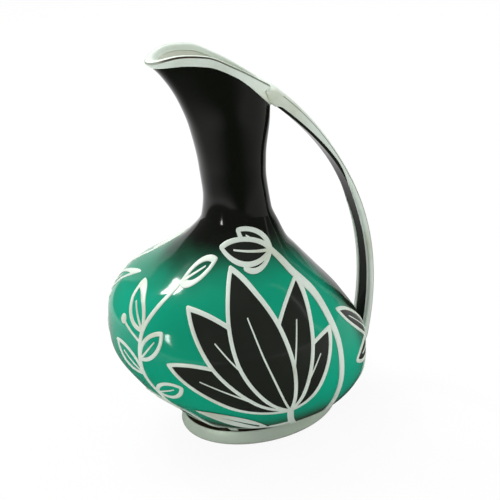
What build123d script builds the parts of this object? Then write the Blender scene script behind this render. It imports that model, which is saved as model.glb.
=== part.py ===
from build123d import *

import math
import os
from functools import cache

# A porcelain pouring jug with fired-on silver, in millimetres.
# +Z is up, and the origin is the centre of the foot on the table. -X is the spout's side and +X the
# handle's. The jug is alike on both sides of the XZ plane.

# Foot: an oval ring, wider at the table, that the body is let into
foot_height = 6.6
foot_length = 77.4
foot_width = 69.8
foot_flare = 1.9
foot_ring_width = 4.6
recess_depth = 3.2
seat_depth = 1.6
seat_inset = 1.7

# Heights of the body's sections, each measured up from the section below it, the first from the foot
groove_rise = 1.8
sill_rise = 5.6
haunch_rise = 8.0
flank_rise = 14.0
bulge_rise = 20.0
brow_rise = 16.0
shoulder_rise = 12.0
slope_rise = 8.0
collar_rise = 8.0
throat_rise = 10.0
neck_rise = 20.0
flare_rise = 25.0
mouth_rise = 15.0
lip_rise = 14.0
peak_rise = 12.0

# Reach of each section from the origin towards the spout, along -X
groove_front = 37.4
sill_front = 42.3
haunch_front = 48.4
flank_front = 60.1
bulge_front = 68.3
brow_front = 66.7
shoulder_front = 58.3
slope_front = 39.7
collar_front = 23.7
throat_front = 13.6
neck_front = 10.9
flare_front = 12.6
mouth_front = 16.2
lip_front = 22.7
peak_front = 32.6

# Reach of each section from the origin towards the handle, along +X
groove_back = 38.2
sill_back = 52.7
haunch_back = 57.7
flank_back = 58.6
bulge_back = 50.4
brow_back = 39.7
shoulder_back = 31.5
slope_back = 26.3
collar_back = 23.6
throat_back = 20.9
neck_back = 21.0
flare_back = 26.6
mouth_back = 28.5
lip_back = 29.0
peak_back = 30.0

# The sections from the sill to the flare are round, and the mouth is an egg
groove_half_width = 34.6
mouth_half_width = 16.4
lip_half_width = 16.8
peak_half_width = 16.8
mouth_middle = 8.2

# Porcelain
wall = 3.0
base_thickness = 4.2
section_spacing = 5.0
growing_rounds = 12

# The rim's line seen from the side, from its crest over the spout
rim_crest_rise = 10.0
rim_crest_x = -16.0
rim_tip_x = -28.6
rim_tip_drop = 2.8
rim_side_x = -4.0
rim_side_drop = 2.0
rim_middle_drop = 9.2
rim_back_drop = 25.6

# Silver and black glaze lie as skins just off the porcelain
silver = 0.35
black_glaze = 0.2
clearance = 0.1
rim_band_height = 4.5
rim_band_tip_height = 2.8
rim_band_back_height = 11.0
rim_band_inner_height = 2.8
foot_band_lift = 0.8
root_band_width = 2.2

# Pattern lines and the smallest motifs
line_width = 2.0
vein_width = 1.3
vein_tip_width = 0.7
petal_vein_share = 0.75
leaf_vein_share = 0.7
open_vein_start = 0.15
stem_width = 3.2
berry_radius = 2.1
blade_swell = 0.67
blade_swell_place = 0.3
blade_taper = 0.5
blade_taper_place = 0.8
stroke_steps = 10

# Each motif is drawn flat as (across, up) from the jug's middle line at the bulge's height, and
# projected onto the body from the way it faces, in degrees from -Y towards +X.
# Petals and leaves are (tip, width, lean), the front one first.
bloom_facing = -15.0
bloom_base = (15, -30)
bloom_petals = [
    ((-3, 38), 27, 0),
    ((-25, 28), 24, -1.5),
    ((27, 27), 22, 1.5),
    ((-38, 4), 21, -2),
    ((39, 2), 19, 2),
]
bloom_leaf = ((4, -41), (-30, -25), 10)
bloom_stem = [(15, -30), (15, -40), (19, -50)]
bud_stem = [(26, -50), (38, -34), (43, -8), (35, 16), (24, 31), (17, 40)]
bud_base = (17, 40)
bud_petals = [
    ((-6, 45), 10, 0),
    ((3, 51), 8, 0),
    ((4, 37), 7, 0),
]

spray_facing = -50.0
spray_stem = [(8, -50), (-8, -30), (-17, -6), (-15, 18), (-4, 35)]
spray_leaves = [
    ((-8, -30), (-28, -22), 10),
    ((-14, -16), (3, -9), 10),
    ((-17, -4), (-35, 8), 10),
    ((-17, 4), (-4, 18), 9),
    ((-15, 18), (-27, 32), 9),
    ((-4, 35), (7, 41), 7),
]
spray_berries = [((-11, -26), (-22, -36)), ((-16, 12), (-29, 20))]

root_facing = 60.0
root_base = (20, -26)
root_leaves = [
    ((-11, 4), 11, 0),
    ((-15, -22), 11, 0),
    ((-3, -42), 10, 0),
]

# The handle's centre line leaves the mouth's back at one slant and meets the haunch at another
handle_top_inset = 1.4
handle_top_drop = 4.4
handle_top_slant = 45.0
handle_top_pull = 58.7
handle_root_height = 27.5
handle_root_stand = 2.2
handle_root_slant = 17.5
handle_root_pull = 51.7
handle_embed = 8.0
handle_tail = 9.0
handle_tuck = 8.5
handle_top_width = 14.5
handle_grip_width = 16.5
handle_root_width = 16.5
handle_top_thickness = 7.0
handle_grip_thickness = 3.4
handle_root_thickness = 3.2
handle_grip_place = 0.4
handle_tail_thickness = 3.0
handle_dome = 1.3
handle_edge_radius = 0.7
handle_strip_margin = 1.0
handle_steps = 10


def round_section(front, back):
    """Front and back reach, half width and middle of a round section."""
    return front, back, (front + back) / 2, (back - front) / 2


seat_height = foot_height - seat_depth
rises = [
    seat_depth + groove_rise, sill_rise, haunch_rise, flank_rise, bulge_rise, brow_rise, shoulder_rise,
    slope_rise, collar_rise, throat_rise, neck_rise, flare_rise, mouth_rise, lip_rise, peak_rise,
]
heights = [seat_height + sum(rises[:count]) for count in range(len(rises) + 1)]
seat_reach = foot_length / 2 - seat_inset
sections = [
    (seat_reach, seat_reach, foot_width / 2 - seat_inset, 0.0),
    (groove_front, groove_back, groove_half_width, 0.0),
    round_section(sill_front, sill_back),
    round_section(haunch_front, haunch_back),
    round_section(flank_front, flank_back),
    round_section(bulge_front, bulge_back),
    round_section(brow_front, brow_back),
    round_section(shoulder_front, shoulder_back),
    round_section(slope_front, slope_back),
    round_section(collar_front, collar_back),
    round_section(throat_front, throat_back),
    round_section(neck_front, neck_back),
    round_section(flare_front, flare_back),
    (mouth_front, mouth_back, mouth_half_width, mouth_middle),
    (lip_front, lip_back, lip_half_width, mouth_middle),
    (peak_front, peak_back, peak_half_width, mouth_middle),
]
fronts, backs, half_widths, middles = (list(column) for column in zip(*sections))
top_height = heights[-1]
mouth_height = top_height - peak_rise - lip_rise
crest_height = top_height - peak_rise + rim_crest_rise
bulge_height = seat_height + sum(rises[:5])
neck_height = mouth_height - mouth_rise - flare_rise


def slanted(start, slant, pull):
    """Point at a distance from start, down a line at slant degrees from level."""
    turn = math.radians(slant)
    return start[0] + pull * math.cos(turn), start[1] - pull * math.sin(turn)


def slopes(values):
    """Slope at each section of a smooth line that never swings past its own points."""
    runs = [b - a for a, b in zip(heights, heights[1:])]
    steps = [(b - a) / run for a, b, run in zip(values, values[1:], runs)]
    result = [steps[0]]
    for k in range(1, len(steps)):
        before, after = steps[k - 1], steps[k]
        if before * after <= 0:
            result.append(0.0)
        else:
            near_weight = 2 * runs[k] + runs[k - 1]
            far_weight = runs[k] + 2 * runs[k - 1]
            result.append((near_weight + far_weight) / (near_weight / before + far_weight / after))
    return result + [steps[-1]]


def smooth(values, height):
    """Value and slope at a height of the smooth line through the sections' values."""
    height = min(max(height, heights[0]), heights[-1])
    k = max(i for i in range(len(heights) - 1) if heights[i] <= height)
    run = heights[k + 1] - heights[k]
    t = (height - heights[k]) / run
    start, end = values[k], values[k + 1]
    start_slope, end_slope = slopes(values)[k : k + 2]
    value = (
        (1 + 2 * t) * (1 - t) ** 2 * start
        + t * (1 - t) ** 2 * run * start_slope
        + t**2 * (3 - 2 * t) * end
        - t**2 * (1 - t) * run * end_slope
    )
    slope = (
        6 * t * (1 - t) * (end - start) / run
        + (1 - t) * (1 - 3 * t) * start_slope
        + t * (3 * t - 2) * end_slope
    )
    return value, slope


def grown(values, height, grow):
    """Reach at a height of the smooth line moved out by grow along its normal."""
    source = height
    for _ in range(growing_rounds):
        value, slope = smooth(values, source)
        tilt = math.hypot(1, slope)
        source = height + grow * slope / tilt
    return smooth(values, source)[0] + grow / tilt


@cache
def hull(grow):
    """The body's outer form, moved out by grow, as a solid from its seat in the foot to its peak."""
    steps = math.ceil((top_height - seat_height) / section_spacing)
    with BuildPart() as form:
        for k in range(steps + 1):
            height = seat_height + (top_height - seat_height) * k / steps
            middle = smooth(middles, height)[0]
            front = grown(fronts, height, grow) + middle
            back = grown(backs, height, grow) - middle
            half = grown(half_widths, height, grow)
            with BuildSketch(Plane.XY.offset(height)):
                with BuildLine():
                    EllipticalCenterArc((middle, 0), back, half, start_angle=-90, arc_size=180)
                    EllipticalCenterArc((middle, 0), front, half, start_angle=90, arc_size=180)
                make_face()
        loft()
    return form.part


@cache
def slab(low, high):
    """Everything between two heights."""
    with BuildPart() as space:
        with BuildSketch(Plane.XY.offset(low)):
            Rectangle(4 * bulge_front, 4 * bulge_front)
        extrude(amount=high - low)
    return space.part


def foot(grow, bottom):
    """The foot's outer form, moved out by grow, from a height up to its top."""
    lowest = foot_flare * (1 - bottom / foot_height)
    with BuildPart() as ring:
        for height, flare in ((bottom, lowest), (foot_height, 0)):
            with BuildSketch(Plane.XY.offset(height)):
                Ellipse(foot_length / 2 + flare + grow, foot_width / 2 + flare + grow)
        loft(ruled=True)
    return ring.part


def above_rim(lift, tip_lift=None, back_lift=None):
    """Everything over the rim's line, raised by lift, with lifts of their own for the tip and back."""
    crest = crest_height + lift
    tip = crest_height - rim_tip_drop + (lift if tip_lift is None else tip_lift)
    back = crest_height - rim_back_drop + (lift if back_lift is None else back_lift)
    room = 3 * peak_front
    with BuildPart() as space:
        with BuildSketch(Plane.XZ) as side:
            with BuildLine():
                line = Spline(
                    (rim_tip_x - peak_front / 2, tip - 3 * rim_tip_drop),
                    (rim_tip_x, tip),
                    (rim_crest_x, crest),
                    (rim_side_x, crest - rim_side_drop),
                    (mouth_middle, crest - rim_middle_drop),
                    (mouth_back, back),
                    (2 * mouth_back, back - rim_back_drop),
                )
                Polyline(line @ 1, (2 * mouth_back, crest + room), (line @ 0 + (0, room)), line @ 0)
            make_face()
        extrude(amount=room, both=True)
    return space.part


root_reach = smooth(backs, handle_root_height)[0] + handle_root_stand
handle_top = (mouth_back - handle_top_inset, mouth_height - handle_top_drop)
handle_top_pole = slanted(handle_top, handle_top_slant, handle_top_pull)
handle_root = (root_reach, handle_root_height)
handle_root_pole = slanted(handle_root, handle_root_slant - 90, handle_root_pull)


def strap_sections(grow):
    """Plane, width and thickness of the handle at steps from inside the neck to inside the belly."""
    line = Bezier(handle_top, handle_top_pole, handle_root_pole, handle_root)
    places = []
    for k in range(handle_steps + 1):
        t = k / handle_steps
        upper = min(t / handle_grip_place, 1.0)
        lower = max(t - handle_grip_place, 0.0) / (1 - handle_grip_place)
        width = blend(handle_top_width, handle_grip_width, upper)
        width += blend(0, handle_root_width - handle_grip_width, lower)
        thickness = blend(handle_top_thickness, handle_grip_thickness, upper)
        thickness += blend(0, handle_root_thickness - handle_grip_thickness, lower)
        places.append((line @ t, line % t, width, thickness))
    point, along, width, thickness = places[0]
    places.insert(0, (point - along * handle_embed, along, width, thickness))
    tail = Vector(-handle_tuck, -handle_tail)
    point, _, width, _ = places[-1]
    places.append((point + tail, tail.normalized(), width, handle_tail_thickness))
    return [
        (
            Plane(origin=(point.X, 0, point.Y), x_dir=(0, 1, 0), z_dir=(along.X, 0, along.Y)),
            width + 2 * grow,
            thickness + 2 * grow,
        )
        for point, along, width, thickness in places
    ]


def blend(start, end, t):
    """From start to end with level ends, as t goes from 0 to 1."""
    return start + (end - start) * (1 - math.cos(math.pi * t)) / 2


@cache
def strap(grow):
    """The handle's outer form, moved out by grow."""
    with BuildPart() as form:
        for plane, width, thickness in strap_sections(grow):
            with BuildSketch(plane):
                with BuildLine():
                    inner = -thickness / 2
                    shoulder = thickness / 2 - handle_dome
                    Polyline(
                        (-width / 2, shoulder), (-width / 2, inner), (width / 2, inner), (width / 2, shoulder)
                    )
                    ThreePointArc((width / 2, shoulder), (0, thickness / 2), (-width / 2, shoulder))
                outline = make_face()
                fillet(outline.vertices(), handle_edge_radius + grow)
        loft()
    return form.part


def strap_strip():
    """What the silver leaves bare: the middle of the handle's inner face."""
    with BuildPart() as form:
        for plane, width, thickness in strap_sections(0):
            with BuildSketch(plane):
                with Locations((0, -thickness / 2)):
                    Rectangle(width - 2 * handle_strip_margin, thickness)
        loft()
    return form.part


def neck_wall(outset):
    """The wall of neck and mouth, thickened by outset on both sides and at the rim."""
    with BuildPart() as form:
        add(hull(outset))
        add(hull(-wall - outset), mode=Mode.SUBTRACT)
        add(above_rim(outset), mode=Mode.SUBTRACT)
    return form.part


def skin(thickness):
    """A skin over the body from the foot up to the neck."""
    with BuildPart() as form:
        add(hull(clearance + thickness))
        add(hull(clearance), mode=Mode.SUBTRACT)
        add(slab(foot_height + clearance, neck_height), mode=Mode.INTERSECT)
    return form.part


def blade_edges(base, tip, width, lean):
    """The two edges of a pointed leaf or petal, each as the poles of a cubic curve."""
    start = Vector(*base)
    along = Vector(*tip) - start
    across = Vector(-along.Y, along.X).normalized()
    return [
        [
            start,
            start + along * blade_swell_place + across * (blade_swell * side + lean),
            start + along * blade_taper_place + across * (blade_taper * side + lean),
            start + along,
        ]
        for side in (width, -width)
    ]


def blade(base, tip, width, lean=0.0):
    """A pointed leaf or petal as an area."""
    with BuildSketch() as area:
        with BuildLine():
            for poles in blade_edges(base, tip, width, lean):
                Bezier(*poles)
        make_face()
    return area.sketch


def stroke(line, start_width, end_width):
    """A line drawn with a width that changes evenly from its start to its end."""
    left = []
    right = []
    for k in range(stroke_steps + 1):
        t = k / stroke_steps
        half = (start_width + (end_width - start_width) * t) / 2
        along = line % t
        across = Vector(-along.Y, along.X) * half
        left.append((line @ t) + across)
        right.append((line @ t) - across)
    with BuildSketch() as area:
        with BuildLine():
            Spline(*left)
            Line(left[-1], right[-1])
            Spline(*reversed(right))
            Line(right[0], left[0])
        make_face()
        with Locations(line @ 0):
            Circle(start_width / 2)
        with Locations(line @ 1):
            Circle(end_width / 2)
    return area.sketch


def outline(base, tip, width, lean=0.0):
    """Silver line round a leaf or petal."""
    with BuildSketch() as lines:
        for poles in blade_edges(base, tip, width, lean):
            add(stroke(Bezier(*poles), line_width, line_width))
    return lines.sketch


def vein(base, tip, start_share, end_share):
    """A tapering line up the middle of a leaf or petal, between two shares of its length."""
    base = Vector(*base)
    along = Vector(*tip) - base
    return stroke(Line(base + along * start_share, base + along * end_share), vein_width, vein_tip_width)


def flower(base, petals):
    """Silver lines and black cells of petals that lie over one another, the front one first."""
    lines = Sketch()
    cells = Sketch()
    covered = Sketch()
    for tip, width, lean in petals:
        lines += (outline(base, tip, width, lean) + vein(base, tip, 0, petal_vein_share)) - covered
        cells += blade(base, tip, width, lean) - covered
        covered += blade(base, tip, width, lean)
    return lines, cells - lines


def facing_plane(azimuth):
    """Upright plane through the middle line that faces azimuth degrees from -Y, towards +X."""
    turn = math.radians(azimuth)
    return Plane(
        origin=(0, 0, bulge_height),
        x_dir=(math.cos(turn), math.sin(turn), 0),
        z_dir=(math.sin(turn), -math.cos(turn), 0),
    )


def on_body(cover, azimuth, drawing):
    """The part of a skin that a flat drawing covers, seen from azimuth."""
    with BuildPart() as piece:
        add(cover)
        with BuildSketch(facing_plane(azimuth)):
            add(drawing)
        extrude(amount=2 * bulge_front, mode=Mode.INTERSECT)
    return piece.part


def leaf(base, tip, width):
    """Silver line round a leaf and up its middle."""
    return outline(base, tip, width) + vein(base, tip, 0, leaf_vein_share)


def bloom_drawing():
    """Silver and black of the bloom, its stem and the solid leaf beside it."""
    lines, cells = flower(bloom_base, bloom_petals)
    lines += stroke(Spline(*bloom_stem), stem_width, stem_width)
    lines += blade(*bloom_leaf) - vein(*bloom_leaf[:2], open_vein_start, leaf_vein_share)
    lines += stroke(Line(bloom_leaf[0], bloom_stem[1]), line_width, line_width)
    return lines, cells


def bud_drawing():
    """Silver and black of the bud that hangs from its own stem."""
    lines, cells = flower(bud_base, bud_petals)
    return lines + stroke(Spline(*bud_stem), stem_width, line_width), cells


def spray_drawing():
    """Silver of the spray of leaves and berries under the spout."""
    lines = stroke(Spline(*spray_stem), stem_width, line_width)
    for base, tip, width in spray_leaves:
        lines += leaf(base, tip, width)
    for start, end in spray_berries:
        lines += stroke(Line(start, end), vein_width, vein_width)
        with BuildSketch() as berry:
            with Locations(end):
                Circle(berry_radius)
        lines += berry.sketch
    return lines


with BuildPart() as jug_body:
    add(hull(-wall))
    add(slab(recess_depth + base_thickness, top_height), mode=Mode.INTERSECT)
    cavity = jug_body.part
    add(hull(0), mode=Mode.REPLACE)
    add(foot(0, 0))
    add(cavity, mode=Mode.SUBTRACT)
    add(above_rim(0), mode=Mode.SUBTRACT)
    inner_flare = foot_flare - foot_ring_width
    with BuildSketch():
        Ellipse(foot_length / 2 + inner_flare, foot_width / 2 + inner_flare)
    extrude(amount=recess_depth, mode=Mode.SUBTRACT)

with BuildPart() as handle:
    add(strap(0))
    add(hull(0), mode=Mode.SUBTRACT)

with BuildPart() as rim_band:
    add(neck_wall(clearance + silver))
    add(neck_wall(clearance), mode=Mode.SUBTRACT)
    add(above_rim(-rim_band_height, -rim_band_tip_height, -rim_band_back_height), mode=Mode.INTERSECT)
    add(hull(-wall / 2) - above_rim(-rim_band_inner_height), mode=Mode.SUBTRACT)
    add(strap(clearance), mode=Mode.SUBTRACT)

with BuildPart() as handle_band:
    add(strap(clearance + silver))
    add(strap(clearance), mode=Mode.SUBTRACT)
    add(strap_strip(), mode=Mode.SUBTRACT)
    add(hull(2 * clearance + silver), mode=Mode.SUBTRACT)

with BuildPart() as foot_band:
    add(foot(clearance + silver, foot_band_lift))
    add(foot(clearance, foot_band_lift), mode=Mode.SUBTRACT)

silver_skin = skin(silver)
black_skin = skin(black_glaze)

with BuildPart() as handle_root_band:
    add(silver_skin)
    add(strap(root_band_width), mode=Mode.INTERSECT)
    add(strap(2 * clearance + silver), mode=Mode.SUBTRACT)

bloom_lines, bloom_cells = bloom_drawing()
bud_lines, bud_cells = bud_drawing()
root_lines, root_cells = flower(root_base, root_leaves)
handle_room = strap(root_band_width + clearance)

motifs = {
    "bloom_silver": on_body(silver_skin, bloom_facing, bloom_lines),
    "bloom_petals": on_body(black_skin, bloom_facing, bloom_cells),
    "bud_silver": on_body(silver_skin, bloom_facing, bud_lines),
    "bud_petals": on_body(black_skin, bloom_facing, bud_cells),
    "spray_silver": on_body(silver_skin, spray_facing, spray_drawing()),
    "root_leaves_silver": on_body(silver_skin, root_facing, root_lines) - handle_room,
    "root_leaves_black": on_body(black_skin, root_facing, root_cells) - handle_room,
}
pieces = {
    "jug_body": jug_body.part,
    "handle": handle.part,
    "rim_band": rim_band.part,
    "handle_band": handle_band.part,
    "handle_root_band": handle_root_band.part,
    "foot_band": foot_band.part,
}
for name, motif in motifs.items():
    pieces[f"near_{name}"] = motif
    pieces[f"far_{name}"] = mirror(motif, about=Plane.XZ)

os.makedirs("parts", exist_ok=True)
for name, piece in pieces.items():
    piece.label = name
    export_step(piece, f"parts/{name}.step")
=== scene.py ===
import math

import bpy
import numpy as np
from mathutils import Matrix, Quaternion, Vector


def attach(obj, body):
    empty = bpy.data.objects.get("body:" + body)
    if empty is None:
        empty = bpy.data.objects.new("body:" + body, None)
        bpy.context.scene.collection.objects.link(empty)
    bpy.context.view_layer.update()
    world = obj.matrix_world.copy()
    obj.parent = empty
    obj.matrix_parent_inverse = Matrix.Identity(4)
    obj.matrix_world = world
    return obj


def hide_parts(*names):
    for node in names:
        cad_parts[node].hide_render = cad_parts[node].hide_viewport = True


# Visual model of a porcelain jug with fired-on silver. Its shapes are worked out in millimetres,
# its materials and studio in metres, with +Z up, -X towards the spout and +X towards the handle.

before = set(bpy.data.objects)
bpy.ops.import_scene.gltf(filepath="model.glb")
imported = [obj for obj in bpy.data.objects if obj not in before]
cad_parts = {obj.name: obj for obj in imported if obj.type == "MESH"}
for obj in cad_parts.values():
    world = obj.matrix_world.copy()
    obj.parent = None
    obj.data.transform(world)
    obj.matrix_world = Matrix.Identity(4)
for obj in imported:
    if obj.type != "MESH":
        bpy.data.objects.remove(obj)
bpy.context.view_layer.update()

MM = 0.001

# Foot
foot_height = 6.6
foot_reach = (38.7, 34.9)
foot_flare = 1.9
foot_ring_width = 4.6
foot_inner = foot_flare - foot_ring_width
foot_recess = 3.2
foot_edge = 0.5
foot_corner = foot_edge / 4
underside_hole = 0.01

# Body: height, reach towards the spout, reach towards the handle, half width, middle.
# Where the last two are left out the section is round.
sections = [
    (5.0, 37.0, 37.0, 33.2, 0.0),
    (8.4, 37.4, 38.2, 34.6, 0.0),
    (14.0, 42.3, 52.7),
    (22.0, 48.4, 57.7),
    (36.0, 60.1, 58.6),
    (56.0, 68.3, 50.4),
    (72.0, 66.7, 39.7),
    (84.0, 58.3, 31.5),
    (92.0, 39.7, 26.3),
    (100.0, 23.7, 23.6),
    (110.0, 13.6, 20.9),
    (124.0, 11.0, 20.6),
    (136.0, 11.0, 21.9),
    (155.0, 12.6, 26.6, 17.0, 7.0),
    (170.0, 16.2, 28.5, 16.4, 8.2),
    (184.0, 22.7, 29.0, 16.8, 8.2),
    (196.0, 32.6, 30.0, 16.8, 8.2),
]
wall = 3.0
floor_height = 7.4
lip_radius = 1.4
bulge_height = 56.0

# Columns and rows of the body's mesh, and the rows of its floor as shares of the floor's reach
columns = 192
outer_rows = 130
inner_rows = 70
lip_rows = 7
band_rows = 16
floor_shares = (0.9, 0.6, 0.3, 0.0)

# Rounds of the two sums that close in on an answer, and amounts too small to count
growth_rounds = 12
meeting_rounds = 60
rounding = 1e-6
least_length = 1e-9

# The rim's line seen from the side, and its runs past the tip and past the back
rim_crest = (-16.0, 194.0)
rim_tip = (-28.6, 191.2)
rim_side = (-4.0, 192.0)
rim_middle = (8.2, 184.8)
rim_back = (28.5, 168.4)
rim_past_tip = (-16.3, -8.4)
rim_past_back = (28.5, -25.6)

# Silver and black skins, as heights over the porcelain, and how far down the bands reach
skin_base = 0.05
skin_edge = 0.3
silver_top = 0.42
silver_shoulder = silver_top * 0.7
black_top = 0.12
black_step = 0.025
rim_band_height = 4.5
rim_band_tip_height = 2.8
rim_band_back_height = 11.0
rim_band_inner_height = 2.8
foot_band_bottom = 0.8

# Thin lines of painted shade over the silver, dark where a groove's shadow would fall, and the rows
# and points of the lip and handle they follow
painted_shade_line_lift = 0.03
painted_shade_line_lip_rows = slice(1, 5)
painted_shade_line_handle_rows = slice(6, None)
painted_shade_line_handle_points = slice(11, 13)

# Pattern lines
line_width = 2.0
vein_width = 1.3
vein_tip_width = 0.7
petal_vein_share = 0.75
leaf_vein_share = 0.7
open_vein_start = 0.15
stem_width = 3.2
berry_radius = 2.1
blade_swell = 0.67
blade_swell_place = 0.3
blade_taper = 0.5
blade_taper_place = 0.8

# Domed section of a silver line and of a berry, as shares of their half width and of their height
line_sides = np.array([-1.0, -0.86, -0.6, -0.25, 0.25, 0.6, 0.86, 1.0])
line_rises = np.array([0.0, 0.62, 0.88, 1.0, 1.0, 0.88, 0.62, 0.0])
line_end_turns = np.radians([8, 30, 60])
line_end_rise = 0.4
berry_shares = np.array([1.0, 0.93, 0.75, 0.4, 0.02])
berry_rises = np.array([0.0, 0.55, 0.85, 1.0, 1.0])

# Points along the pattern's lines, across its filled areas and round its berries
outline_points = 90
blade_points = 60
stem_points = 48
long_stem_points = 120
short_line_points = 20
fill_points = 18
berry_points = 24
fewest_points = 3

# Motifs as (across, up) from the middle line at the bulge's height. Petals and leaves are
# (tip, width, lean), the front one first.
bloom_facing = -15.0
bloom_base = (15, -30)
bloom_petals = [
    ((-3, 38), 27, 0),
    ((-25, 28), 24, -1.5),
    ((27, 27), 22, 1.5),
    ((-38, 4), 21, -2),
    ((39, 2), 19, 2),
]
bloom_leaf = ((4, -41), (-30, -25), 10)
bloom_stem = [(15, -30), (15, -40), (19, -50)]
bud_stem = [(26, -50), (38, -34), (43, -8), (35, 16), (24, 31), (17, 40)]
bud_base = (17, 40)
bud_petals = [((-6, 45), 10, 0), ((3, 51), 8, 0), ((4, 37), 7, 0)]

# The spray's leaves are (base, tip, width) and its berries (start of the stalk, middle).
spray_facing = -50.0
spray_stem = [(8, -50), (-8, -30), (-17, -6), (-15, 18), (-4, 35)]
spray_leaves = [
    ((-8, -30), (-28, -22), 10),
    ((-14, -16), (3, -9), 10),
    ((-17, -4), (-35, 8), 10),
    ((-17, 4), (-4, 18), 9),
    ((-15, 18), (-27, 32), 9),
    ((-4, 35), (7, 41), 7),
]
spray_berries = [((-11, -26), (-22, -36)), ((-16, 12), (-29, 20))]

root_facing = 60.0
root_base = (20, -26)
root_leaves = [((-11, 4), 11, 0), ((-15, -22), 11, 0), ((-3, -42), 10, 0)]

# Handle: poles of its middle line, and its sizes at the top, the grip and the root. The line runs
# on into the neck by handle_embed, thinner by handle_dive, and into the belly by handle_tail.
handle_poles = [(27.1, 165.6), (68.6, 124.1), (75.95, 76.8), (60.4, 27.5)]
handle_embed = 5.0
handle_dive = 5.0
handle_tail = (-8.5, -9.0)
handle_widths = (14.5, 16.5, 16.5)
handle_thicknesses = (7.0, 3.4, 3.2)
handle_tail_thickness = 3.0
handle_grip_place = 0.4
handle_flare = 4.5
handle_flare_length = 16.0
handle_dome = 1.3
handle_edge = 0.7
handle_rows = 70
tail_rows = 8
cap_shares = (0.02, 0.5, 0.9)

# Half of the handle's section: shares of its half width on the faces, and turns round the edges
inner_face_shares = (0.0, 0.2, 0.4, 0.6, 0.75)
inner_edge_turns = np.radians([0, 22, 45, 68, 90])
outer_edge_turns = np.radians([0, 30, 60, 85])
outer_face_shares = (0.85, 0.7, 0.5, 0.3, 0.15, 0.0)
inner_edge_point = 7

# Where the handle's silver starts: above the inner edge, or in on the inner face where below 0.
# Each pair is a share of the handle's length and the start there.
near_starts = [(0.0, -2.0), (0.03, -2.0), (0.055, 1.4), (0.28, 1.4), (0.5, -3.2), (1.0, -3.2)]
far_starts = [(0.0, -2.0), (0.03, -2.0), (0.055, 0.3), (0.4, 0.3), (0.6, -3.2), (1.0, -3.2)]
point_gap = 0.02

# Colours of the green glaze, of the darker glaze laid over it, and of the painted shade over it
green_deep = (0.003, 0.31, 0.178)
green_light = (0.005, 0.37, 0.228)
green_shade = (0.012, 0.12, 0.065)
# Painted shade down the back shoulder and low on the back near the handle's root
painted_shade_black = (0.014, 0.022, 0.014)
black_neck = (0.004, 0.005, 0.003)
# Painted shade above the foot
painted_shade_brown = (0.030, 0.024, 0.012)
bare_edge = (0.55, 0.56, 0.50)

# Colours of the other glazes, of silver, and of the painted shade lines over the silver
black_deep = (0.008, 0.010, 0.007)
black_light = (0.022, 0.026, 0.020)
white_deep = (0.60, 0.63, 0.53)
white_light = (0.72, 0.74, 0.65)
silver_clean = (0.87, 0.97, 0.87)
silver_bright = (0.84, 0.99, 0.82)
silver_dull = (0.66, 0.71, 0.55)
# Painted shade for the thin dark lines along the lip and down the handle
painted_shade_line_brown = (0.09, 0.07, 0.04)
painted_shade_line_grey = (0.34, 0.38, 0.31)
painted_shade_line_pale = (0.62, 0.68, 0.58)

# What lies over the green: a spray of glaze for the shade, a darker green under the neck, and for
# the neck itself, and painted shade for the foot, the back and the stripe. For each, where it
# starts, where it is full, and the blur of its edge. The places are heights for the shade and the
# neck, and heights with a minus for the foot. The back's are heights plus a share of the reach
# towards the handle. The stripe's are that reach less a share of the distance aside, and it comes
# in between two heights. Below bare_heights the foot is bare.
shade_spray = (0.087, 0.104, 0.008)
neck_spray = (0.096, 0.109, 0.010)
# Painted shade above the foot
painted_foot_shade = (-0.022, -0.010, 0.006)
# Painted shade down the back shoulder, and in the stripe low on the back near the handle's root
painted_back_shade = (0.101, 0.122, 0.010)
back_reach_share = 0.9
painted_stripe_shade = (0.014, 0.036, 0.012)
stripe_aside_share = 0.9
stripe_heights = (0.020, 0.045)
bare_heights = (0.0014, 0.0008)

# Where the painted shade lines turn from brown to grey, and from brown to pale towards the spout's
# tip
painted_shade_line_patches = 0.016
painted_shade_line_grey_places = (-0.004, 0.022)
painted_shade_line_pale_places = (-0.008, -0.018)

# How strongly glaze bends light, and the depth of fine unevenness
glaze_ior = 1.4
bump_depth = 0.0006

# Floor and world, in metres and shares of white
floor_size = 8
floor_colour = (0.9, 0.9, 0.9)
floor_white_share = 0.92
world_light = 0.6

# Lamps as (name, place, size, power, whether the jug mirrors it), in metres and watts
lamp_target = (0, 0, 0.09)
lamps = [
    ("overhead", (-0.2, 0.55, 1.0), (0.9, 0.7), 6.7, False),
    ("side", (0.9, -0.25, 0.55), (0.3, 0.7), 3.2, False),
    ("window", (-0.86, -0.35, 0.26), (0.07, 0.18), 1.0, True),
    ("streak", (-0.25, 0.52, 0.88), (0.03, 0.16), 1.3, True),
]

# Room that only glaze and silver mirror, in metres and shares of white. Its walls are
# (name, direction from the jug, brightness).
room_distance = 1.0
wall_size = (1.2, 1.6)
room_walls = [
    ("far_right", 110, 0.12),
    ("far", 165, 0.75),
    ("back", -135, 0.12),
    ("left", -75, 0.12),
    ("front", -15, 0.12),
    ("right", 45, 0.1),
]
ceiling_place = (0, -0.1, 1.3)
ceiling_size = (2.2, 2.2)
ceiling_level = 0.16
table_place = (0, 0, 0.0005)
table_size = (2.8, 2.8)

# Brightness of the table's parts, and between which places each comes in
table_left_level = 0.75
table_front_level = 0.04
table_front_places = (-0.50, -0.11)
table_behind_level = 1.0
table_behind_places = (0.0, 0.3)
table_far_level = 0.12
table_far_places = (-0.55, -0.80)
table_right_level = 0.42
table_right_places = (0.03, 0.35)

# Camera: angles in degrees, aim in millimetres, distance in metres, and focal length as a share of
# the sensor's width
camera_azimuth = -15.0
camera_elevation = 24.0
camera_roll = -8.5
camera_aim = (7.5, 0.0, 87.0)
camera_distance = 0.645
sensor_width = 36.0
focal_share = 2.604


# Lines and curves


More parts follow.
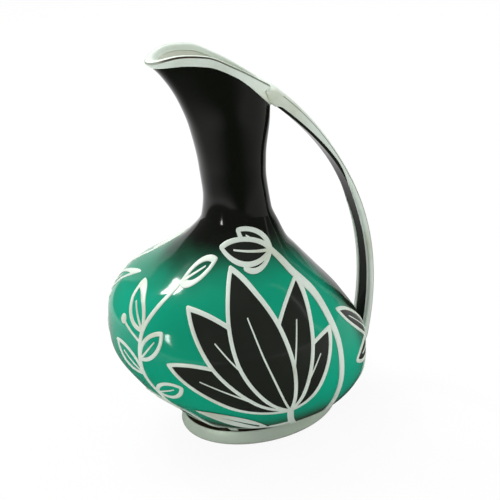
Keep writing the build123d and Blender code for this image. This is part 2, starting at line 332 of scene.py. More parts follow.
def stretch(places, place):
    """Which stretch between two of the places a place lies in."""
    return np.clip(np.searchsorted(places, place, side="right") - 1, 0, len(places) - 2)


def hermite(t, run, start, end, start_slope, end_slope):
    """Value along a stretch of a smooth line, as t goes from 0 to 1."""
    return (
        (1 + 2 * t) * (1 - t) ** 2 * start
        + t * (1 - t) ** 2 * run * start_slope
        + t**2 * (3 - 2 * t) * end
        - t**2 * (1 - t) * run * end_slope
    )


class Curve:
    """A smooth line through points that never swings past them."""

    def __init__(self, places, values):
        self.places = np.array(places, float)
        self.values = np.array(values, float)
        runs = np.diff(self.places)
        steps = np.diff(self.values) / runs
        before, after = steps[:-1], steps[1:]
        near_weight = 2 * runs[1:] + runs[:-1]
        far_weight = runs[1:] + 2 * runs[:-1]
        turns_back = before * after <= 0
        before = np.where(turns_back, 1.0, before)
        after = np.where(turns_back, 1.0, after)
        inner = (near_weight + far_weight) / (near_weight / before + far_weight / after)
        inner = np.where(turns_back, 0.0, inner)
        self.slopes = np.concatenate([steps[:1], inner, steps[-1:]])

    def at(self, place):
        """Value and slope of the line."""
        place = np.clip(place, self.places[0], self.places[-1])
        k = stretch(self.places, place)
        run = self.places[k + 1] - self.places[k]
        t = (place - self.places[k]) / run
        start, end = self.values[k], self.values[k + 1]
        start_slope, end_slope = self.slopes[k], self.slopes[k + 1]
        slope = (
            6 * t * (1 - t) * (end - start) / run
            + (1 - t) * (1 - 3 * t) * start_slope
            + t * (3 * t - 2) * end_slope
        )
        return hermite(t, run, start, end, start_slope, end_slope), slope

    def grown(self, place, grow):
        """Value on the line moved out by grow along its normal."""
        source = np.asarray(place, float)
        for _ in range(growth_rounds):
            slope = self.at(source)[1]
            tilt = np.hypot(1, slope)
            source = place + grow * slope / tilt
        return self.at(source)[0] + grow / tilt


def lengths_along(points):
    """How far along a line each of its points lies."""
    steps = np.linalg.norm(np.diff(points, axis=0), axis=1)
    return np.concatenate([[0], np.cumsum(steps)])


def through(points, count=stem_points):
    """A smooth line through drawn points."""
    points = np.array(points, float)
    lengths = lengths_along(points)
    tangents = np.gradient(points, lengths, axis=0)
    places = np.linspace(0, lengths[-1], count)
    k = stretch(lengths, places)
    run = (lengths[k + 1] - lengths[k])[:, None]
    t = (places - lengths[k])[:, None] / run
    return hermite(t, run, points[k], points[k + 1], tangents[k], tangents[k + 1])


def bezier(poles, t):
    """Points of a cubic curve."""
    poles = np.array(poles, float)
    t = np.asarray(t, float)[:, None]
    return (
        (1 - t) ** 3 * poles[0]
        + 3 * (1 - t) ** 2 * t * poles[1]
        + 3 * (1 - t) * t**2 * poles[2]
        + t**3 * poles[3]
    )


def blend(start, end, t):
    """From start to end with level ends, as t goes from 0 to 1."""
    return start + (end - start) * (1 - np.cos(math.pi * np.clip(t, 0, 1))) / 2


def inside(points, border):
    """Which points lie inside a border."""
    x, y = points[:, 0, None], points[:, 1, None]
    x1, y1 = border.T
    x2, y2 = np.roll(border, -1, axis=0).T
    spans = (y1 > y) != (y2 > y)
    rise = np.where(y2 == y1, 1.0, y2 - y1)
    crosses = spans & (x < x1 + (x2 - x1) * (y - y1) / rise)
    return crosses.sum(1) % 2 == 1


# The body's surface


def full_section(height, front, back, half=None, middle=None):
    """A section with its half width and middle, which a round one gets from its two reaches."""
    if half is None:
        return height, front, back, (front + back) / 2, (back - front) / 2
    return height, front, back, half, middle


heights, *section_values = zip(*(full_section(*row) for row in sections))
fronts, backs, halves, middles = (Curve(heights, values) for values in section_values)
turns = np.linspace(0, 2 * math.pi, columns, endpoint=False)


def section_sizes(height, grow):
    """Middle, front and back reach from it, and half width of the body's section."""
    middle = middles.at(height)[0]
    front = fronts.grown(height, grow) + middle
    back = backs.grown(height, grow) - middle
    return middle, front, back, halves.grown(height, grow)


def body(turn, height, grow=0.0):
    """Points of the body's surface moved out by grow. Turn goes round from the handle's side."""
    turn, height = np.broadcast_arrays(turn, height)
    middle, front, back, half = section_sizes(height, grow)
    reach = np.where(np.cos(turn) > 0, back, front)
    return np.stack([middle + reach * np.cos(turn), half * np.sin(turn), height], -1)


def on_body(facing, flat, lift):
    """Points of a flat drawing laid on the body from the way it faces, lifted off the surface."""
    azimuth = math.radians(facing)
    across, height = flat[..., 0], bulge_height + flat[..., 1]
    middle, front, back, half = section_sizes(height, lift)
    side = np.array([math.cos(azimuth), math.sin(azimuth)])
    out = np.array([math.sin(azimuth), -math.cos(azimuth)])
    best = np.full(across.shape, -np.inf)
    for reach, sign in ((front, -1), (back, 1)):
        start_x = (across * side[0] - middle) / reach
        start_y = across * side[1] / half
        step_x, step_y = out[0] / reach, out[1] / half
        square = step_x**2 + step_y**2
        cross = start_x * step_x + start_y * step_y
        rest = start_x**2 + start_y**2 - 1
        depth = (-cross + np.sqrt(np.maximum(cross**2 - square * rest, 0))) / square
        right_half = sign * (start_x + depth * step_x) >= -rounding
        best = np.where(right_half, np.maximum(best, depth), best)
    x = across * side[0] + best * out[0]
    y = across * side[1] + best * out[1]
    return np.stack([x, y, height], -1)


class Skin:
    """Grids of points gathered into one mesh."""

    def __init__(self):
        self.points = []
        self.faces = []
        self.count = 0

    def add(self, grid, closed=False):
        """A grid of rows of points. A closed one also joins each row's end to its start."""
        rows, across = grid.shape[:2]
        self.points.append(grid.reshape(-1, 3))
        last = across if closed else across - 1
        for i in range(rows - 1):
            for j in range(last):
                near, far = self.count + i * across, self.count + (i + 1) * across
                k = (j + 1) % across
                self.faces.append((near + j, near + k, far + k, far + j))
        self.count += rows * across

    def make(self, name, material, slot=None, replaces=(), mirrored=False):
        """The mesh as an object that rides on the jug."""
        points = np.concatenate(self.points) * MM
        faces = self.faces
        if mirrored:
            points = points * (1, -1, 1)
            faces = [face[::-1] for face in faces]
        mesh = bpy.data.meshes.new(name)
        mesh.from_pydata(points.tolist(), [], faces)
        mesh.polygons.foreach_set("use_smooth", [True] * len(faces))
        mesh.materials.append(material)
        mesh.update()
        piece = bpy.data.objects.new(name, mesh)
        bpy.context.scene.collection.objects.link(piece)
        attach(piece, "root")
        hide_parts(*replaces)


def make_piece(name, grid, material, slot=None, replaces=(), closed=False):
    """One grid of points as a piece of its own."""
    skin = Skin()
    skin.add(grid, closed)
    skin.make(name, material, slot, replaces)


# Shader nodes


def principled(name, roughness, metallic=0.0, ior=1.5):
    """A new material, its node tree and its shader."""
    made = bpy.data.materials.new(name)
    made.use_nodes = True
    shader = made.node_tree.nodes["Principled BSDF"]
    shader.inputs["Roughness"].default_value = roughness
    shader.inputs["Metallic"].default_value = metallic
    shader.inputs["IOR"].default_value = ior
    return made, made.node_tree, shader


def axes_of(tree):
    """Sockets of a point's place along X, Y and Z, in metres."""
    place = tree.nodes.new("ShaderNodeTexCoord")
    axes = tree.nodes.new("ShaderNodeSeparateXYZ")
    tree.links.new(place.outputs["Object"], axes.inputs[0])
    return axes.outputs["X"], axes.outputs["Y"], axes.outputs["Z"]


def noise(tree, scale, detail=3.0):
    """Cloudy noise in the frame's own metres."""
    place = tree.nodes.new("ShaderNodeTexCoord")
    cloud = tree.nodes.new("ShaderNodeTexNoise")
    cloud.inputs["Scale"].default_value = scale
    cloud.inputs["Detail"].default_value = detail
    tree.links.new(place.outputs["Object"], cloud.inputs["Vector"])
    return cloud.outputs["Fac"]


def worked_out(tree, operation, *terms):
    """Result of a sum, a product or the like, of sockets and numbers."""
    made = tree.nodes.new("ShaderNodeMath")
    made.operation = operation
    for socket, term in zip(made.inputs, terms):
        if isinstance(term, float):
            socket.default_value = term
        else:
            tree.links.new(term, socket)
    return made.outputs[0]


def sum_of(tree, *terms):
    """Sum of (socket, factor) pairs."""
    products = [worked_out(tree, "MULTIPLY", *term) for term in terms]
    total = products[0]
    for product in products[1:]:
        total = worked_out(tree, "ADD", total, product)
    return total


def ramp(tree, socket, start, end):
    """From 0 to 1 with level ends, as the socket goes from start to end."""
    made = tree.nodes.new("ShaderNodeMapRange")
    made.interpolation_type = "SMOOTHSTEP"
    made.inputs["From Min"].default_value = start
    made.inputs["From Max"].default_value = end
    tree.links.new(socket, made.inputs["Value"])
    return made.outputs["Result"]


def mixed(tree, factor, first, second):
    """First colour or socket, going over to the second."""
    made = tree.nodes.new("ShaderNodeMix")
    made.data_type = "RGBA"
    tree.links.new(factor, made.inputs["Factor"])
    for name, colour in (("A", first), ("B", second)):
        socket = next(s for s in made.inputs if s.name == name and s.type == "RGBA")
        if isinstance(colour, tuple):
            socket.default_value = (*colour, 1)
        else:
            tree.links.new(colour, socket)
    return next(s for s in made.outputs if s.type == "RGBA")


def bumped(tree, shader, height, strength):
    """Fine unevenness of a surface."""
    bump = tree.nodes.new("ShaderNodeBump")
    bump.inputs["Strength"].default_value = strength
    bump.inputs["Distance"].default_value = bump_depth
    tree.links.new(height, bump.inputs["Height"])
    tree.links.new(bump.outputs["Normal"], shader.inputs["Normal"])


def ray_is(tree, *kinds):
    """1 where the surface is seen by one of these kinds of ray, otherwise 0."""
    seen = tree.nodes.new("ShaderNodeLightPath")
    share = seen.outputs[kinds[0]]
    for kind in kinds[1:]:
        share = worked_out(tree, "MAXIMUM", share, seen.outputs[kind])
    return share


# Materials


def spray_and_shade(tree, mist, spray, *terms):
    """How thick a layer lies where the terms add up to a place, with a misty edge: a spray of glaze
    for some layers and painted shade for the others.
    """
    start, full, blur = spray
    return ramp(tree, sum_of(tree, *terms, (mist, blur)), start, full)


def jug_glaze():
    """Green glaze with a spray of black at the neck, and painted shade near the handle and above the
    foot.
    """
    made, tree, shader = principled("jug_glaze", roughness=0.1, ior=glaze_ior)
    x, y, height = axes_of(tree)
    aside = worked_out(tree, "ABSOLUTE", y)
    mist = noise(tree, scale=45.0)
    clouds = ramp(tree, noise(tree, scale=14.0), start=0.35, end=0.7)
    stripe = spray_and_shade(tree, mist, painted_stripe_shade, (x, 1.0), (aside, -stripe_aside_share))
    # The stripe, the back and the foot layers are painted shade.
    layers = [
        (spray_and_shade(tree, mist, shade_spray, (height, 1.0)), green_shade),
        (worked_out(tree, "MULTIPLY", stripe, ramp(tree, height, *stripe_heights)), painted_shade_black),
        (spray_and_shade(tree, mist, painted_back_shade, (height, 1.0), (x, back_reach_share)), painted_shade_black),
        (spray_and_shade(tree, mist, neck_spray, (height, 1.0)), black_neck),
        (spray_and_shade(tree, mist, painted_foot_shade, (height, -1.0)), painted_shade_brown),
        (ramp(tree, height, *bare_heights), bare_edge),
    ]
    colour = mixed(tree, clouds, green_deep, green_light)
    for share, layer in layers:
        colour = mixed(tree, share, colour, layer)
    tree.links.new(colour, shader.inputs["Base Color"])
    bumped(tree, shader, noise(tree, scale=60.0), strength=0.06)
    return made


def black_glaze(name, gloss):
    """Black glaze with a faint grey mist."""
    made, tree, shader = principled(name, roughness=0.12, ior=glaze_ior)
    shader.inputs["Specular IOR Level"].default_value = gloss
    colour = mixed(tree, noise(tree, scale=30.0), black_deep, black_light)
    tree.links.new(colour, shader.inputs["Base Color"])
    bumped(tree, shader, noise(tree, scale=60.0), strength=0.06)
    return made


def white_glaze():
    """Clear glaze over white porcelain, inside the jug and under its foot."""
    made, tree, shader = principled("white_glaze", roughness=0.16)
    colour = mixed(tree, noise(tree, scale=22.0), white_deep, white_light)
    tree.links.new(colour, shader.inputs["Base Color"])
    bumped(tree, shader, noise(tree, scale=60.0), strength=0.05)
    return made


def silver(name, metallic, clean):
    """Fine silver, hand polished: small scratches, soft waves and faintly tarnished patches."""
    made, tree, shader = principled(name, roughness=0.3, metallic=metallic)
    dulled = ramp(tree, noise(tree, scale=35.0, detail=6.0), start=0.5, end=0.8)
    tree.links.new(mixed(tree, dulled, clean, silver_dull), shader.inputs["Base Color"])
    rubbed = ramp(tree, noise(tree, scale=160.0, detail=5.0), start=-0.6, end=1.6)
    tree.links.new(rubbed, shader.inputs["Roughness"])
    waves, scratches = noise(tree, scale=70.0), noise(tree, scale=900.0, detail=4.0)
    bumped(tree, shader, sum_of(tree, (waves, 1.0), (scratches, 0.06)), strength=0.25)
    return made


def painted_shade_line():
    """Painted shade for the thin dark lines on the silver: pale at the tip, brown over the mouth and
    grey on the handle.
    """
    made, tree, shader = principled("painted_shade_line", roughness=0.4, metallic=0.6)
    x, _, _ = axes_of(tree)
    patchy = sum_of(tree, (x, 1.0), (noise(tree, scale=60.0), painted_shade_line_patches))
    colour = mixed(tree, ramp(tree, patchy, *painted_shade_line_grey_places), painted_shade_line_brown, painted_shade_line_grey)
    colour = mixed(tree, ramp(tree, patchy, *painted_shade_line_pale_places), colour, painted_shade_line_pale)
    tree.links.new(colour, shader.inputs["Base Color"])
    return made


# Body, rim and foot


def rim_line(lift=0.0, tip_lift=None, back_lift=None):
    """The rim's line seen from the side, raised by lift, or by lifts of their own at tip and back."""
    tip = rim_tip[1] + (lift if tip_lift is None else tip_lift)
    back = rim_back[1] + (lift if back_lift is None else back_lift)
    points = [
        (rim_tip[0] + rim_past_tip[0], tip + rim_past_tip[1]),
        (rim_tip[0], tip),
        (rim_crest[0], rim_crest[1] + lift),
        (rim_side[0], rim_side[1] + lift),
        (rim_middle[0], rim_middle[1] + lift),
        (rim_back[0], back),
        (rim_back[0] + rim_past_back[0], back + rim_past_back[1]),
    ]
    return Curve(*zip(*points))


def meeting(line, grow):
    """Height at which each column of the body meets a line seen from the side."""
    height = np.full(columns, rim_crest[1])
    for _ in range(meeting_rounds):
        height = (height + line.at(body(turns, height, grow)[:, 0])[0]) / 2
    return height


def corner(start, pole, end):
    """Rows of points that round a corner of the lip."""
    t = np.linspace(0, 1, lip_rows)[:, None, None]
    return (1 - t) ** 2 * start + 2 * t * (1 - t) * pole + t**2 * end


def lip(grow):
    """Rows over the rim from the outer face to the inner one, moved out by grow."""
    line = rim_line(grow)
    outer_height, inner_height = meeting(line, grow), meeting(line, -wall - grow)
    outer_low = body(turns, outer_height - lip_radius, grow)
    outer = body(turns, outer_height, grow)
    inner = body(turns, inner_height, -wall - grow)
    inner_low = body(turns, inner_height - lip_radius, -wall - grow)
    top = (outer + inner) / 2
    return np.concatenate([corner(outer_low, outer, top), corner(top, inner, inner_low)[1:]])


def between(low, high, rows, grow):
    """Rows of the body from one height to another, each a number or one for each column."""
    t = np.linspace(0, 1, rows)[:, None]
    return body(turns, low + (high - low) * t, grow)


def make_outside():
    """Porcelain of the body's outer face and of its lip."""
    top = meeting(rim_line(), 0) - lip_radius
    grid = np.concatenate([between(heights[0], top, outer_rows, 0.0), lip(0.0)[1:]])
    make_piece("jug_outside", grid, jug_glaze_look, "jug_glaze", ["jug_body"], closed=True)


def make_inside():
    """Porcelain of the body's inner face and floor."""
    top = meeting(rim_line(), -wall) - lip_radius
    inner = between(top, floor_height, inner_rows, -wall)
    edge = inner[-1]
    middle = edge.mean(0)
    floor = [middle + (edge - middle) * share for share in floor_shares]
    make_piece("jug_inside", np.concatenate([inner, floor]), white_glaze_look, closed=True)


def oval(profile):
    """Rows of the foot from (distance out from its top edge, height) pairs."""
    rows = []
    for out, height in profile:
        x = (foot_reach[0] + out) * np.cos(turns)
        y = (foot_reach[1] + out) * np.sin(turns)
        rows.append(np.stack([x, y, np.full(columns, height)], -1))
    return np.stack(rows)


def make_foot_ring():
    """Outer face and top of the foot."""
    profile = [
        (foot_inner - foot_edge, foot_height),
        (-foot_edge, foot_height),
        (-foot_corner, foot_height - foot_corner),
        (0, foot_height - foot_edge),
        (foot_flare, foot_edge),
        (foot_flare - foot_corner, foot_corner),
        (foot_flare - foot_edge, 0),
    ]
    make_piece("jug_foot", oval(profile), jug_glaze_look, "jug_glaze", closed=True)


def make_underside():
    """The foot's standing face and the plain recess inside it."""
    profile = [
        (foot_flare - foot_edge, 0),
        (foot_inner + foot_edge, 0),
        (foot_inner + foot_corner, foot_corner),
        (foot_inner, foot_edge),
        (foot_inner, foot_recess - foot_edge),
        (foot_inner - foot_corner, foot_recess - foot_corner),
        (foot_inner - foot_edge, foot_recess),
        (-foot_reach[1] / 2, foot_recess),
        (-foot_reach[1] + underside_hole, foot_recess),
    ]
    make_piece("jug_underside", oval(profile), white_glaze_look, closed=True)


def make_rim_band():
    """Silver over the lip and down both faces at the rim."""
    low_line = rim_line(-rim_band_height, -rim_band_tip_height, -rim_band_back_height)
    top_line = rim_line(silver_top)
    outer_low, outer_top = meeting(low_line, 0), meeting(top_line, silver_top) - lip_radius
    inner_low = meeting(rim_line(-rim_band_inner_height), -wall)
    inner_top = meeting(top_line, -wall - silver_top) - lip_radius
    rows = [
        body(turns, outer_low, skin_base)[None],
        body(turns, outer_low, silver_shoulder)[None],
        between(outer_low + skin_edge, outer_top, band_rows, silver_top),
        lip(silver_top)[1:],
        between(inner_top, inner_low + skin_edge, band_rows, -wall - silver_top)[1:],
        body(turns, inner_low, -wall - silver_shoulder)[None],
        body(turns, inner_low, -wall - skin_base)[None],
    ]
    make_piece("rim_silver", np.concatenate(rows), silver_look, "silver", ["rim_band"], closed=True)


def make_rim_line():
    """Thin line of painted shade along the rim's lip."""
    rows = lip(silver_top + painted_shade_line_lift)[painted_shade_line_lip_rows]
    make_piece("rim_line", rows, painted_shade_line_look, "silver", closed=True)


def make_foot_band():
    """Silver round the foot's outer face."""
    slope = foot_flare / foot_height
    low = foot_flare - slope * foot_band_bottom
    above_low = foot_flare - slope * (foot_band_bottom + skin_edge)
    profile = [
        (low + skin_base, foot_band_bottom),
        (low + silver_shoulder, foot_band_bottom),
        (above_low + silver_top, foot_band_bottom + skin_edge),
        (silver_top, foot_height - skin_edge),
        (silver_shoulder, foot_height),
        (0, foot_height),
    ]
    make_piece("foot_silver", oval(profile), bright_silver_look, "silver", ["foot_band"], closed=True)


# Handle


def handle_sizes(values, t):
    """A size of the handle from its top over the grip to its root."""
    top, grip, root = values
    lower = (t - handle_grip_place) / (1 - handle_grip_place)
    return blend(top, grip, t / handle_grip_place) + blend(0, root - grip, lower)


def direction(start, end):
    """Step of length 1 from one point towards another."""
    return (end - start) / np.linalg.norm(end - start)


def tail_points(points, t):
    """Points that lead the handle's middle line on into the belly."""
    tail = np.array(handle_tail)
    end = points[-1] + tail
    onward = direction(points[-2], points[-1]) * np.linalg.norm(tail)
    return bezier([points[-1], points[-1] + onward / 3, end - tail / 3, end], t)


def handle_path():
    """Points, directions, widths and thicknesses from inside the neck to inside the belly."""
    t = np.linspace(0, 1, handle_rows)
    tail_t = np.linspace(0, 1, tail_rows + 1)[1:]
    points = bezier(handle_poles, t)
    head = points[0] + direction(points[1], points[0]) * handle_embed
    points = np.concatenate([[head], points, tail_points(points, tail_t)])
    widths = handle_sizes(handle_widths, t)
    widths = np.concatenate([widths[:1], widths, np.full(tail_rows, widths[-1])])
    flare = np.clip(1 - lengths_along(points) / (handle_embed + handle_flare_length), 0, 1)
    widths += 2 * handle_flare * flare**2
    thicknesses = handle_sizes(handle_thicknesses, t)
    tail_thickness = blend(thicknesses[-1], handle_tail_thickness, tail_t)
    thicknesses = np.concatenate([thicknesses[:1] - handle_dive, thicknesses, tail_thickness])
    along = np.gradient(points, axis=0)
    along /= np.linalg.norm(along, axis=1)[:, None]
    return points, along, widths, thicknesses


def strap_outline(width, thickness, grow):
    """Half of the handle's section, as (across, outwards), from its inner face to its outer one."""
    half, inner = width / 2 + grow, -thickness / 2 - grow
    shoulder = thickness / 2 - handle_dome + grow
    edge = handle_edge + grow / 2
    points = [(half * share, inner) for share in inner_face_shares]
    for turn in inner_edge_turns:
        points.append((half - edge * (1 - math.sin(turn)), inner + edge * (1 - math.cos(turn))))
    for turn in outer_edge_turns:
        points.append((half - edge * (1 - math.cos(turn)), shoulder - edge * (1 - math.sin(turn))))
    for share in outer_face_shares:
        points.append((half * share, shoulder + handle_dome * (1 - share**2)))
    return np.array(points)


def kept_in_wall(spots):
    """Points of the handle, none of them deeper than the middle of the body's wall."""
    middle, _, back, half = section_sizes(spots[..., 2], -wall / 2)
    limit = middle + back * np.sqrt(np.clip(1 - (spots[..., 1] / half) ** 2, 0, 1))
    return np.stack([np.maximum(spots[..., 0], limit), spots[..., 1], spots[..., 2]], -1)


def strap_grid(outlines):
    """Rows of the handle's surface from one outline for each place along it, closed at the top."""
    points, along, _, _ = handle_path()
    rows = []
    for point, step, outline in zip(points, along, outlines):
        outward = np.array([-step[1], step[0]])
        spot = point + outline[:, 1:] * outward
        rows.append(np.stack([spot[:, 0], outline[:, 0], spot[:, 1]], -1))
    middle = np.array([points[0][0], 0, points[0][1]])
    cap = [middle + (rows[0] - middle) * share for share in cap_shares]
    return kept_in_wall(np.stack(cap + rows))


def both_sides(near, far):
    """A section's outline from the near side round to the far one, out of its two halves."""
    return np.concatenate([near * (-1, 1), far[-2::-1]])


def from_inner_edge(outline):
    """How far along half of the handle's section each of its points lies from the inner edge."""
    lengths = lengths_along(outline)
    return lengths - lengths[inner_edge_point]


def on_outline(outline, places):
    """Points on half of the handle's section at such distances from the inner edge."""
    lengths = from_inner_edge(outline)
    return np.stack([np.interp(places, lengths, outline[:, side]) for side in (0, 1)], -1)


def silver_half(width, thickness, start):
    """Half of the silver's section, from where it starts to the middle of the outer face."""
    base, shoulder, top = (
        strap_outline(width, thickness, grow) for grow in (skin_base, silver_shoulder, silver_top)
    )
    lengths = from_inner_edge(top)
    places = np.maximum(lengths, start + skin_edge + point_gap * np.arange(len(lengths)))
    return np.concatenate([
        on_outline(base, [start]),
        on_outline(shoulder, [start]),
        on_outline(top, places),
    ])


def make_handle_strap():
    """The handle itself, in black glaze."""
    _, _, widths, thicknesses = handle_path()
    halves = [strap_outline(width, thickness, 0.0) for width, thickness in zip(widths, thicknesses)]
    grid = strap_grid([both_sides(half, half) for half in halves])
    make_piece("handle_strap", grid, strip_glaze_look, "handle_glaze", ["handle"])


def make_handle_silver():
    """Silver over all of the handle but a strip of its inner face."""
    _, _, widths, thicknesses = handle_path()
    places = np.linspace(0, 1, len(widths))
    near, far = (Curve(*zip(*starts)).at(places)[0] for starts in (near_starts, far_starts))
    outlines = []
    for width, thickness, near_start, far_start in zip(widths, thicknesses, near, far):
        near_half = silver_half(width, thickness, near_start)
        far_half = silver_half(width, thickness, far_start)
        outlines.append(both_sides(near_half, far_half))
    make_piece("handle_silver", strap_grid(outlines), silver_look, "silver", ["handle_band"])


def make_handle_line():
    """Thin line of painted shade down the handle's near side, at the edge of its outer face."""
    _, _, widths, thicknesses = handle_path()
    outlines = []
    for width, thickness in zip(widths, thicknesses):
        half = strap_outline(width, thickness, silver_top + painted_shade_line_lift)
        outlines.append(half[painted_shade_line_handle_points] * (-1, 1))
    make_piece("handle_line", strap_grid(outlines)[painted_shade_line_handle_rows], painted_shade_line_look, "silver")


# Pattern


def blade_axes(base, tip):
    """Start of a leaf or petal, the way to its tip, and a step of length 1 across it."""
    start = np.array(base, float)
    along = np.array(tip, float) - start
    return start, along, np.array([-along[1], along[0]]) / np.linalg.norm(along)


def blade_edges(base, tip, width, lean=0.0):
    """The two edges of a pointed leaf or petal, each as the poles of a cubic curve."""
    start, along, across = blade_axes(base, tip)
    return [
        [
            start,
            start + along * blade_swell_place + across * (blade_swell * side + lean),
            start + along * blade_taper_place + across * (blade_taper * side + lean),
            start + along,
        ]
        for side in (width, -width)
    ]


def domed(rises):
    """Heights of a silver dome over the porcelain, from shares of its full height."""
    return skin_base + (silver_top - skin_base) * rises


class Drawing:
    """Silver and black of one motif, laid on the body from one side."""

    def __init__(self, facing):
        self.facing = facing
        self.silver = Skin()
        self.black = Skin()

    def stroke(self, line, start_width, end_width, covered=()):
        """A domed silver line, left out where it runs under a covering petal."""
        shown = np.ones(len(line), bool)
        for border in covered:
            shown &= ~inside(line, border)
        widths = np.linspace(start_width, end_width, len(line))
        edges = np.flatnonzero(np.diff(np.concatenate([[0], shown.astype(int), [0]])))
        for first, last in zip(edges[::2], edges[1::2]):
            if last - first >= fewest_points:
                self.unbroken(line[first:last], widths[first:last])

    def unbroken(self, line, widths):
        """One unbroken run of a silver line, with rounded ends."""
        along = np.gradient(line, axis=0)
        along /= np.maximum(np.linalg.norm(along, axis=1), least_length)[:, None]
        reaches, shares = np.cos(line_end_turns), np.sin(line_end_turns)
        start = line[0] - along[0] * widths[0] / 2 * reaches[:, None]
        end = line[-1] + along[-1] * widths[-1] / 2 * reaches[::-1, None]
        line = np.concatenate([start, line, end])
        start_along, end_along = (np.repeat(one, len(reaches), 0) for one in (along[:1], along[-1:]))
        along = np.concatenate([start_along, along, end_along])
        half = np.concatenate([widths[0] * shares, widths, widths[-1] * shares[::-1]]) / 2
        across = np.stack([-along[:, 1], along[:, 0]], -1)
        flat = line[:, None] + across[:, None] * half[:, None, None] * line_sides[:, None]
        ends = np.ones(len(line))
        ends[[0, -1]] = line_end_rise
        self.silver.add(on_body(self.facing, flat, domed(line_rises * ends[:, None])))

    def fill(self, skin, first, second, lift):
        """A smooth area between two edges."""
        t = np.linspace(0, 1, fill_points)[None, :, None]
        flat = first[:, None] * (1 - t) + second[:, None] * t
        skin.add(on_body(self.facing, flat, np.full(flat.shape[:2], lift)))

    def outline(self, base, tip, width, lean=0.0, covered=()):
        """Silver line round a leaf or petal."""
        for poles in blade_edges(base, tip, width, lean):
            line = bezier(poles, np.linspace(0, 1, outline_points))
            self.stroke(line, line_width, line_width, covered)

    def vein(self, base, tip, share, covered=()):
        """A tapering silver line up the middle of a leaf or petal."""
        start = np.array(base, float)
        end = start + (np.array(tip) - start) * share
        self.stroke(np.linspace(start, end, blade_points), vein_width, vein_tip_width, covered)

    def flower(self, base, petals):
        """Black petals in silver lines that lie over one another, the front one first."""
        covered = []
        t = np.linspace(0, 1, blade_points)
        for count, (tip, width, lean) in enumerate(petals):
            self.outline(base, tip, width, lean, covered)
            self.vein(base, tip, petal_vein_share, covered)
            left, right = (bezier(poles, t) for poles in blade_edges(base, tip, width, lean))
            lift = black_top + black_step * (len(petals) - 1 - count)
            self.fill(self.black, left, right, lift)
            covered.append(np.concatenate([left, right[::-1]]))

    def leaf(self, base, tip, width):
        """Silver line round a leaf and up its middle."""
        self.outline(base, tip, width)
        self.vein(base, tip, leaf_vein_share)

    def solid_leaf(self, base, tip, width):
        """A silver leaf with its vein left open."""
        start, along, across = blade_axes(base, tip)
        t = np.linspace(0, 1, blade_points)
        gap = np.clip((leaf_vein_share - t) / (leaf_vein_share - open_vein_start), 0, 1)
        gap = np.where(t < open_vein_start, 0, gap)[:, None] * vein_width / 2
        middle = start + along * t[:, None]
        for poles, side in zip(blade_edges(base, tip, width), (1, -1)):
            self.fill(self.silver, bezier(poles, t), middle + across * gap * side, silver_top)

    def berry(self, middle):
        """A domed silver dot."""
        around = np.linspace(0, 2 * math.pi, berry_points, endpoint=False)
        ring = np.stack([np.cos(around), np.sin(around)], -1)
        flat = np.array(middle, float) + berry_radius * berry_shares[:, None, None] * ring
        rises = np.repeat(berry_rises[:, None], berry_points, 1)
        self.silver.add(on_body(self.facing, flat, domed(rises)), closed=True)

    def make(self, name, silver_node, black_node=None):
        """The motif's pieces on the near side and, mirrored, on the far side."""
        for side, mirrored in (("near", False), ("far", True)):
            silver_name, silver_solid = f"{name}_silver_{side}", f"{side}_{silver_node}"
            self.silver.make(silver_name, silver_look, "silver", [silver_solid], mirrored)
            if black_node:
                black_name, black_solid = f"{name}_black_{side}", f"{side}_{black_node}"
                self.black.make(black_name, black_glaze_look, "black_glaze", [black_solid], mirrored)


def make_bloom():
    """The large bloom with its stem and solid leaf."""
    bloom = Drawing(bloom_facing)
    bloom.flower(bloom_base, bloom_petals)
    bloom.stroke(through(bloom_stem), stem_width, stem_width)
    bloom.solid_leaf(*bloom_leaf)
    stalk = np.linspace(bloom_leaf[0], bloom_stem[1], short_line_points)
    bloom.stroke(stalk, line_width, line_width)
    bloom.make("bloom", "bloom_silver", "bloom_petals")


def make_bud():
    """The bud that hangs from its own stem."""
    bud = Drawing(bloom_facing)
    bud.flower(bud_base, bud_petals)
    bud.stroke(through(bud_stem, long_stem_points), stem_width, line_width)
    bud.make("bud", "bud_silver", "bud_petals")


def make_spray():
    """The spray of leaves and berries under the spout."""
    spray = Drawing(spray_facing)
    spray.stroke(through(spray_stem, long_stem_points), stem_width, line_width)
    for base, tip, width in spray_leaves:
        spray.leaf(base, tip, width)
    for start, middle in spray_berries:
        spray.stroke(np.linspace(start, middle, short_line_points), vein_width, vein_width)
        spray.berry(middle)
    spray.make("spray", "spray_silver")


def make_root_leaves():
    """The leaves at the handle's root."""
    leaves = Drawing(root_facing)
    leaves.flower(root_base, root_leaves)
    leaves.make("root_leaves", "root_leaves_silver", "root_leaves_black")


def dress_root_band():
    """Silver for the narrow collar round the handle's root, whose solid stays."""
    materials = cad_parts["handle_root_band"].data.materials
    materials.clear()
    materials.append(silver_look)


# Studio


def make_floor():
    """A plain pale floor that looks white and keeps the jug's shadow."""
    bpy.ops.mesh.primitive_plane_add(size=floor_size)
    floor = bpy.context.object
    floor.name = "floor"
    made, tree, shader = principled("floor", roughness=0.9)
    shader.inputs["Base Color"].default_value = (*floor_colour, 1)
    glow = tree.nodes.new("ShaderNodeEmission")
    output = tree.nodes["Material Output"]
    mix = tree.nodes.new("ShaderNodeMixShader")
    seen = ray_is(tree, "Is Camera Ray", "Is Glossy Ray")
    share = worked_out(tree, "MULTIPLY", seen, floor_white_share)
    tree.links.new(share, mix.inputs["Fac"])
    tree.links.new(shader.outputs[0], mix.inputs[1])
    tree.links.new(glow.outputs[0], mix.inputs[2])
    tree.links.new(mix.outputs[0], output.inputs["Surface"])
    floor.data.materials.append(made)


